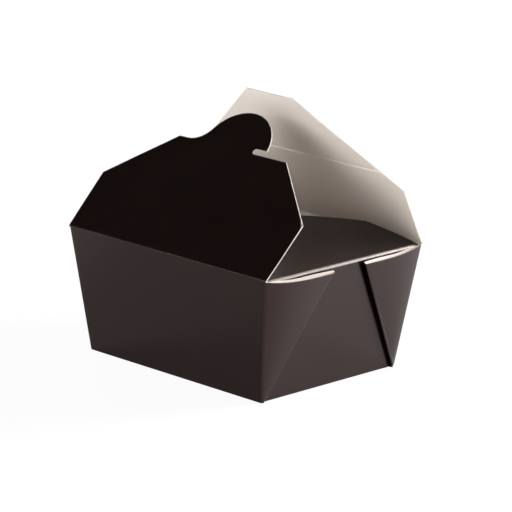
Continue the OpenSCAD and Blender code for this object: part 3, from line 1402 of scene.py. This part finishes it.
class Wiring:
    """Short calls for placing and joining nodes in one tree."""

    def __init__(self, tree: bpy.types.NodeTree) -> None:
        """Work in one tree."""
        self.tree = tree

    def node(self, kind: str, **values: object) -> bpy.types.Node:
        """Add a node.

        Args:
            kind: Blender's name of the node's type.
            values: The node's own properties, by name.

        Returns:
            The node.
        """
        made = self.tree.nodes.new(kind)
        for name, value in values.items():
            setattr(made, name, value)
        return made

    def join(self, source: bpy.types.NodeSocket, target: bpy.types.NodeSocket) -> None:
        """Join an output to an input."""
        self.tree.links.new(source, target)

    def math(self, operation: str, *terms: object) -> bpy.types.NodeSocket:
        """Add a maths node.

        Args:
            operation: Blender's name of the operation.
            terms: Sockets or plain numbers.

        Returns:
            The result's socket.
        """
        made = self.node("ShaderNodeMath", operation=operation)
        for k, term in enumerate(terms):
            if isinstance(term, (int, float)):
                made.inputs[k].default_value = term
            else:
                self.join(term, made.inputs[k])
        return made.outputs[0]

    def blend(
        self,
        first: tuple[bpy.types.NodeSocket, float],
        second: tuple[bpy.types.NodeSocket, float],
    ) -> bpy.types.NodeSocket:
        """Add two values, each given with its weight, and return the sum."""
        parts = [self.math("MULTIPLY", source, weight) for source, weight in (first, second)]
        return self.math("ADD", *parts)

    def noise(
        self,
        vector: bpy.types.NodeSocket,
        scale: bpy.types.NodeSocket,
        detail: float,
        roughness: float = 0.5,
    ) -> bpy.types.NodeSocket:
        """Add a noise texture.

        Args:
            vector: The coordinates.
            scale: The noise's scale.
            detail: The noise's detail.
            roughness: The noise's roughness.

        Returns:
            The factor's socket.
        """
        made = self.node("ShaderNodeTexNoise")
        self.join(vector, made.inputs["Vector"])
        self.join(scale, made.inputs["Scale"])
        made.inputs["Detail"].default_value = detail
        made.inputs["Roughness"].default_value = roughness
        return made.outputs["Fac"]

    def ramp(
        self, source: bpy.types.NodeSocket, low: float, high: float, to: tuple[float, float]
    ) -> bpy.types.NodeSocket:
        """Map a value to another range, eased at both ends.

        Args:
            source: The value.
            low: The value that gives the first of to.
            high: The value that gives the second of to.
            to: The two results.

        Returns:
            The result's socket.
        """
        made = self.node("ShaderNodeMapRange", interpolation_type="SMOOTHSTEP")
        self.join(source, made.inputs["Value"])
        made.inputs["From Min"].default_value = low
        made.inputs["From Max"].default_value = high
        made.inputs["To Min"].default_value = to[0]
        made.inputs["To Max"].default_value = to[1]
        return made.outputs["Result"]

    def mix_colour(
        self, share: bpy.types.NodeSocket, first: object, second: object
    ) -> bpy.types.NodeSocket:
        """Mix two colours.

        Args:
            share: The share of the second colour.
            first: A socket or a plain colour.
            second: A socket or a plain colour.

        Returns:
            The mixed colour's socket.
        """
        made = self.node("ShaderNodeMix", data_type="RGBA")
        self.join(share, made.inputs["Factor"])
        for k, colour in ((6, first), (7, second)):
            if isinstance(colour, tuple):
                made.inputs[k].default_value = (*colour, 1)
            else:
                self.join(colour, made.inputs[k])
        return made.outputs[2]


def paper_grain_group() -> bpy.types.NodeTree:
    """Make the group that gives paperboard its felted surface.

    Returns:
        A group with the outputs Height, for a bump, and Mottle, from 0 to 1.
    """
    inputs = {"Fibre scale": 1400.0, "Mottle scale": 90.0, "Cloud scale": 22.0}
    group = new_group("paper_grain", inputs, ("Height", "Mottle"))
    wiring = Wiring(group)
    given = wiring.node("NodeGroupInput")
    result = wiring.node("NodeGroupOutput")
    place = wiring.node("ShaderNodeTexCoord").outputs["Object"]
    stretch = wiring.node("ShaderNodeMapping")
    wiring.join(place, stretch.inputs["Vector"])
    stretch.inputs["Scale"].default_value = (0.45, 1.0, 1.0)
    along = stretch.outputs["Vector"]
    fibre = wiring.noise(along, given.outputs["Fibre scale"], detail=4.0, roughness=0.6)
    spots = wiring.noise(place, given.outputs["Mottle scale"], detail=3.0, roughness=0.55)
    clouds = wiring.noise(place, given.outputs["Cloud scale"], detail=2.0)
    mottle = wiring.blend((spots, 0.55), (clouds, 0.45))
    wiring.join(wiring.blend((fibre, 0.6), (spots, 0.9)), result.inputs["Height"])
    wiring.join(wiring.ramp(mottle, low=0.34, high=0.66, to=(0.0, 1.0)), result.inputs["Mottle"])
    return group


def wear_highlight_group() -> bpy.types.NodeTree:
    """Make the group that finds where print has rubbed off along folds and cut edges, and where
    creases and the score get a painted highlight.

    Returns:
        A group with the outputs Fold and Edge, masks from 0 to 1.
    """
    inputs = {"Edge width": 0.35, "Break scale": 420.0, "Patch scale": 60.0}
    group = new_group("wear_highlight_marks", inputs, ("Fold", "Edge"))
    wiring = Wiring(group)
    given = wiring.node("NodeGroupInput")
    result = wiring.node("NodeGroupOutput")
    place = wiring.node("ShaderNodeTexCoord").outputs["Object"]
    broken = wiring.noise(place, given.outputs["Break scale"], detail=4.0, roughness=0.65)
    patchy = wiring.noise(place, given.outputs["Patch scale"], detail=2.0)
    fold = wiring.node("ShaderNodeAttribute", attribute_name="fold").outputs["Fac"]
    edge = wiring.node("ShaderNodeAttribute", attribute_name="edge_mm").outputs["Fac"]
    uneven = wiring.math("MULTIPLY", wiring.math("SUBTRACT", broken, 0.5), 0.7)
    lifted = wiring.math("ADD", fold, uneven)
    wiring.join(wiring.ramp(lifted, low=0.55, high=1.05, to=(0.0, 1.0)), result.inputs["Fold"])
    ragged = wiring.math("MULTIPLY", broken, patchy)
    width = wiring.math("MULTIPLY", given.outputs["Edge width"], ragged)
    near = wiring.math("DIVIDE", edge, wiring.math("MULTIPLY", width, 4.0))
    wiring.join(wiring.ramp(near, low=0.4, high=1.0, to=(1.0, 0.0)), result.inputs["Edge"])
    return group


@dataclass(frozen=True)
class PaperFinish:
    """The finish of one surface of the board.

    colour and deep_colour are the two shades of its mottle, wear_highlight_colour what shows
    where it is rubbed off and where a highlight is painted along creases and the score, and
    roughness its range. fold_wear_and_highlight and edge_wear are the most wear that shows at
    folds and cut edges; at folds it is partly a painted highlight.
    """

    name: str
    colour: tuple[float, float, float]
    deep_colour: tuple[float, float, float]
    wear_highlight_colour: tuple[float, float, float]
    roughness: tuple[float, float]
    bump: float
    fold_wear_and_highlight: float
    edge_wear: float
    specular: float = 0.5
    specular_tint: tuple[float, float, float] = (1.0, 1.0, 1.0)
    edge_width: float = 0.35
    fibre_scale: float = 1400.0

    def material(self, grain: bpy.types.NodeTree, wear: bpy.types.NodeTree) -> bpy.types.Material:
        """Make the finish's material.

        Args:
            grain: The paper_grain group.
            wear: The wear_highlight_marks group.

        Returns:
            The material.
        """
        made = bpy.data.materials.new(self.name)
        made.use_nodes = True
        wiring = Wiring(made.node_tree)
        shader = made.node_tree.nodes["Principled BSDF"]
        felt = wiring.node("ShaderNodeGroup", node_tree=grain)
        felt.inputs["Fibre scale"].default_value = self.fibre_scale
        wear_highlight_masks = wiring.node("ShaderNodeGroup", node_tree=wear)
        wear_highlight_masks.inputs["Edge width"].default_value = self.edge_width
        body = wiring.mix_colour(felt.outputs["Mottle"], self.deep_colour, self.colour)
        # Lighter colour mixed in at cut edges as wear, and at creases and the score partly as wear,
        # partly as a painted highlight
        wear_highlight_share = wiring.math(
            "MAXIMUM",
            wiring.math("MULTIPLY", wear_highlight_masks.outputs["Fold"], self.fold_wear_and_highlight),
            wiring.math("MULTIPLY", wear_highlight_masks.outputs["Edge"], self.edge_wear),
        )
        wiring.join(wiring.mix_colour(wear_highlight_share, body, self.wear_highlight_colour), shader.inputs["Base Color"])
        gloss = wiring.ramp(felt.outputs["Mottle"], low=0, high=1, to=self.roughness)
        wiring.join(gloss, shader.inputs["Roughness"])
        shader.inputs["Specular IOR Level"].default_value = self.specular
        shader.inputs["Specular Tint"].default_value = (*self.specular_tint, 1)
        bump = wiring.node("ShaderNodeBump")
        bump.inputs["Strength"].default_value = self.bump
        bump.inputs["Distance"].default_value = GRAIN_DEPTH_MM * MM
        wiring.join(felt.outputs["Height"], bump.inputs["Height"])
        wiring.join(bump.outputs["Normal"], shader.inputs["Normal"])
        return made


BLACK_PRINT = PaperFinish(
    name="black_print",
    colour=(0.0034, 0.0013, 0.0010),
    deep_colour=(0.0029, 0.0011, 0.0009),
    # Lighter colour: rubbed print at cut edges, and on creases partly worn print, partly a painted
    # highlight
    wear_highlight_colour=(0.36, 0.325, 0.31),
    roughness=(0.235, 0.25),
    bump=0.1,
    fold_wear_and_highlight=0.6,
    edge_wear=0.6,
    specular=0.44,
    specular_tint=(1.0, 0.66, 0.64),
)
CREAM_FILM = PaperFinish(
    name="cream_film",
    colour=(0.76, 0.68, 0.61),
    deep_colour=(0.75, 0.67, 0.60),
    # Lighter colour: rubbed film at cut edges, and on the score partly wear, partly a painted
    # highlight
    wear_highlight_colour=(0.95, 0.91, 0.86),
    roughness=(0.28, 0.34),
    bump=0.1,
    fold_wear_and_highlight=0.9,
    edge_wear=0.4,
)
CUT_BOARD = PaperFinish(
    name="cut_board",
    colour=(0.72, 0.66, 0.60),
    deep_colour=(0.56, 0.50, 0.45),
    wear_highlight_colour=(0.80, 0.75, 0.68),
    roughness=(0.75, 0.95),
    bump=0.9,
    fold_wear_and_highlight=0.0,
    edge_wear=0.0,
    specular=0.25,
    fibre_scale=2600.0,
)


@dataclass(frozen=True)
class Lamp:
    """A soft square lamp that looks at the box, with angles in degrees and lengths in metres."""

    name: str
    azimuth: float
    elevation: float
    size: float
    power: float
    distance: float = 1.3
    aim_height: float = 0.06

    def place(self) -> None:
        """Put the lamp in the scene."""
        light = bpy.data.lights.new(self.name, "AREA")
        light.shape = "SQUARE"
        light.size = self.size
        light.energy = self.power
        made = bpy.data.objects.new(self.name, light)
        bpy.context.scene.collection.objects.link(made)
        direction = direction_of(self.azimuth, self.elevation)
        made.location = direction * self.distance + Vector((0, 0, self.aim_height))
        made.rotation_mode = "QUATERNION"
        made.rotation_quaternion = direction.to_track_quat("Z", "Y")


def direction_of(azimuth: float, elevation: float) -> Vector:
    """Return the direction towards a viewer at that azimuth and elevation, in degrees."""
    a, e = math.radians(azimuth), math.radians(elevation)
    return Vector((math.sin(a) * math.cos(e), -math.cos(a) * math.cos(e), math.sin(e)))


@dataclass(frozen=True)
class Viewpoint:
    """The photograph's camera, in degrees, millimetres and pixels of its frame."""

    azimuth: float = 43.964
    elevation: float = 15.116
    roll: float = 1.573
    distance: float = 1701.88
    aim_height: float = 30.5
    aim_right: float = 5.966
    aim_up: float = 18.995
    focal_px: float = 3590.81
    frame_px: float = 512.0
    sensor: float = 36.0
    clip_m: tuple[float, float] = (0.05, 50.0)

    def place(self) -> None:
        """Put the camera in the scene."""
        back = direction_of(self.azimuth, self.elevation)
        level = direction_of(self.azimuth + 90, 0)
        upright = back.cross(level)
        roll = math.radians(self.roll)
        right = math.cos(roll) * level + math.sin(roll) * upright
        up = math.cos(roll) * upright - math.sin(roll) * level
        aim = Vector((0, 0, self.aim_height)) + self.aim_right * right + self.aim_up * up
        data = bpy.data.cameras.new("camera")
        data.sensor_width = self.sensor
        data.lens = self.focal_px * self.sensor / self.frame_px
        data.clip_start, data.clip_end = self.clip_m
        made = bpy.data.objects.new("camera", data)
        bpy.context.scene.collection.objects.link(made)
        turn = Matrix((right, up, back)).transposed()
        made.matrix_world = Matrix.Translation((aim + self.distance * back) * MM) @ turn.to_4x4()
        bpy.context.scene.camera = made


@dataclass(frozen=True)
class Studio:
    """A white floor and backdrop with soft lamps, in metres.

    albedo is the share of light that the floor and backdrop give back, and shadow_share how
    much of the floor's own shading the camera still sees.
    """

    lamps: tuple[Lamp, ...] = (
        Lamp("front_left_lamp", azimuth=338.0, elevation=20.0, size=0.6, power=11.0),
        Lamp("front_low_lamp", azimuth=0.0, elevation=10.0, size=0.5, power=3.0),
        Lamp("front_right_lamp", azimuth=50.0, elevation=30.0, size=0.5, power=2.8),
        Lamp("back_right_lamp", azimuth=152.0, elevation=18.0, size=0.5, power=46.0),
        Lamp("back_left_lamp", azimuth=240.0, elevation=20.0, size=0.5, power=8.0),
    )
    world_grey: float = 0.05
    albedo: float = 0.82
    shadow_share: float = 0.06
    floor_z: float = -0.0002
    radius: float = 6.0
    backdrop_height: float = 2.6
    sides: int = 64

    def white_to_eye(self, name: str, shadow_share: float) -> bpy.types.Material:
        """Make a matte sheet whose front the camera sees as white, and whose back is clear.

        Args:
            name: The material's name.
            shadow_share: How much of its own shading the camera still sees.

        Returns:
            The material.
        """
        made = bpy.data.materials.new(name)
        made.use_nodes = True
        tree = made.node_tree
        tree.nodes.remove(tree.nodes["Principled BSDF"])
        wiring = Wiring(tree)
        matte = wiring.node("ShaderNodeBsdfDiffuse")
        matte.inputs["Color"].default_value = (self.albedo, self.albedo, self.albedo, 1)
        glow = wiring.node("ShaderNodeEmission")
        glow.inputs["Color"].default_value = (1, 1, 1, 1)
        path = wiring.node("ShaderNodeLightPath")
        share = wiring.math("MULTIPLY", path.outputs["Is Camera Ray"], 1 - shadow_share)
        blend = wiring.node("ShaderNodeMixShader")
        wiring.join(share, blend.inputs[0])
        wiring.join(matte.outputs[0], blend.inputs[1])
        wiring.join(glow.outputs[0], blend.inputs[2])
        geometry = wiring.node("ShaderNodeNewGeometry")
        clear = wiring.node("ShaderNodeBsdfTransparent")
        sided = wiring.node("ShaderNodeMixShader")
        wiring.join(geometry.outputs["Backfacing"], sided.inputs[0])
        wiring.join(blend.outputs[0], sided.inputs[1])
        wiring.join(clear.outputs[0], sided.inputs[2])
        wiring.join(sided.outputs[0], tree.nodes["Material Output"].inputs["Surface"])
        return made

    def circle(self, z: float) -> list[tuple[float, float, float]]:
        """Return the points of the studio's outline at height z."""
        angles = (2 * math.pi * k / self.sides for k in range(self.sides))
        return [(self.radius * math.cos(a), self.radius * math.sin(a), z) for a in angles]

    def add_sheet(
        self,
        name: str,
        points: list[tuple[float, float, float]],
        faces: list[tuple[int, ...]],
        shadow_share: float,
    ) -> None:
        """Add a white sheet of the studio.

        Args:
            name: The sheet's name.
            points: Its points, in metres.
            faces: Its faces, whose fronts look at the box.
            shadow_share: How much of its own shading the camera still sees.
        """
        mesh = bpy.data.meshes.new(name)
        mesh.from_pydata(points, [], faces)
        mesh.materials.append(self.white_to_eye(f"{name}_white", shadow_share))
        made = bpy.data.objects.new(name, mesh)
        bpy.context.scene.collection.objects.link(made)

    def sheets(self) -> None:
        """Make the floor under the box and the low wall round it."""
        foot, head = self.circle(self.floor_z), self.circle(self.backdrop_height)
        n = self.sides
        walls = [(n + k, n + (k + 1) % n, (k + 1) % n, k) for k in range(n)]
        self.add_sheet("floor", foot, [tuple(range(n))], self.shadow_share)
        self.add_sheet("backdrop", foot + head, walls, 0.0)

    def world(self) -> None:
        """Set the room's own dim light, which the camera sees as plain white."""
        world = bpy.data.worlds.new("room")
        bpy.context.scene.world = world
        world.use_nodes = True
        tree = world.node_tree
        wiring = Wiring(tree)
        dim = tree.nodes["Background"]
        dim.inputs["Color"].default_value = (1, 1, 1, 1)
        dim.inputs["Strength"].default_value = self.world_grey
        white = wiring.node("ShaderNodeBackground")
        white.inputs["Color"].default_value = (1, 1, 1, 1)
        path = wiring.node("ShaderNodeLightPath")
        blend = wiring.node("ShaderNodeMixShader")
        wiring.join(path.outputs["Is Camera Ray"], blend.inputs[0])
        wiring.join(dim.outputs[0], blend.inputs[1])
        wiring.join(white.outputs[0], blend.inputs[2])
        wiring.join(blend.outputs[0], tree.nodes["World Output"].inputs["Surface"])

    def build(self) -> None:
        """Build the whole studio."""
        self.world()
        self.sheets()
        for lamp in self.lamps:
            lamp.place()
            LOG.info("lamp %s", lamp.name)


def hinge_of(frame: dict, joint: str) -> tuple[float, float]:
    """Read the place of a joint's hinge line.

    Args:
        frame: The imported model's frame.
        joint: The joint's name.

    Returns:
        Its (y, z), in millimetres.
    """
    found = next(j for j in frame["joints"] if j["name"] == joint)
    return found["pos_m"][1] / MM, found["pos_m"][2] / MM


def main() -> None:
    """Build the box round the frame, then the studio."""
    logging.basicConfig(level=logging.INFO, format="%(name)s: %(message)s")
    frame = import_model()
    grain, wear = paper_grain_group(), wear_highlight_group()
    finishes = {
        Side.PRINTED: BLACK_PRINT.material(grain, wear),
        Side.FILM: CREAM_FILM.material(grain, wear),
        Side.CUT: CUT_BOARD.material(grain, wear),
    }
    front, back = hinge_of(frame, "tab_flap_hinge"), hinge_of(frame, "slot_flap_hinge")
    carton = Carton(wall_h=front[1])
    carton.build(finishes)
    tab = TabFlap(
        "tab_flap", hinge=front, lean=45.0, side=-1, carton=carton,
        shoulder=31.4, top=60.4, top_edge=69.7, flare=0.4,
    )
    tab.build(finishes, "printed_board")
    slot = SlotFlap(
        "slot_flap", hinge=back, lean=30.4, side=1, carton=carton,
        shoulder=31.0, top=76.5, top_edge=30.2,
    )
    slot.build(finishes, "cream_board")
    Studio().build()
    Viewpoint().place()
    bpy.context.scene.view_settings.view_transform = "Standard"


if __name__ == "__main__":
    main()
